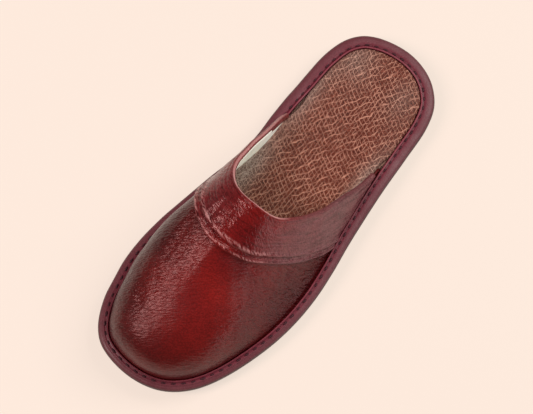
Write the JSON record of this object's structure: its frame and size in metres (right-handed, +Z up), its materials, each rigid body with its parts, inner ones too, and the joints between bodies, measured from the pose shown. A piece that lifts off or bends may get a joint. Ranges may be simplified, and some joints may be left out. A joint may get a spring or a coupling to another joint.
{
  "type": "leather mule house slipper",
  "caption": "Left closed-toe leather mule slipper in oxblood, with an instep band, a stitched edge rand and a padded leather insole.",
  "frame": {"origin": "on the floor under the middle of the heel", "axes": "+Z up, toe towards -Y, heel towards +Y, +X the wearer's left, which is the outer side of this left shoe"},
  "size_m": [0.1111, 0.28, 0.0746],
  "materials": {
    "outsole_rubber": "matt",
    "insole_leather": "semi-gloss",
    "rand_leather": "satin",
    "upper_leather": "gloss",
    "band_leather": "gloss"
  },
  "bodies": {
    "root": {"outsole": "outsole_rubber", "insole": "insole_leather", "rand": "rand_leather", "upper": "upper_leather", "instep_band": "band_leather"}
  },
  "joints": []
}
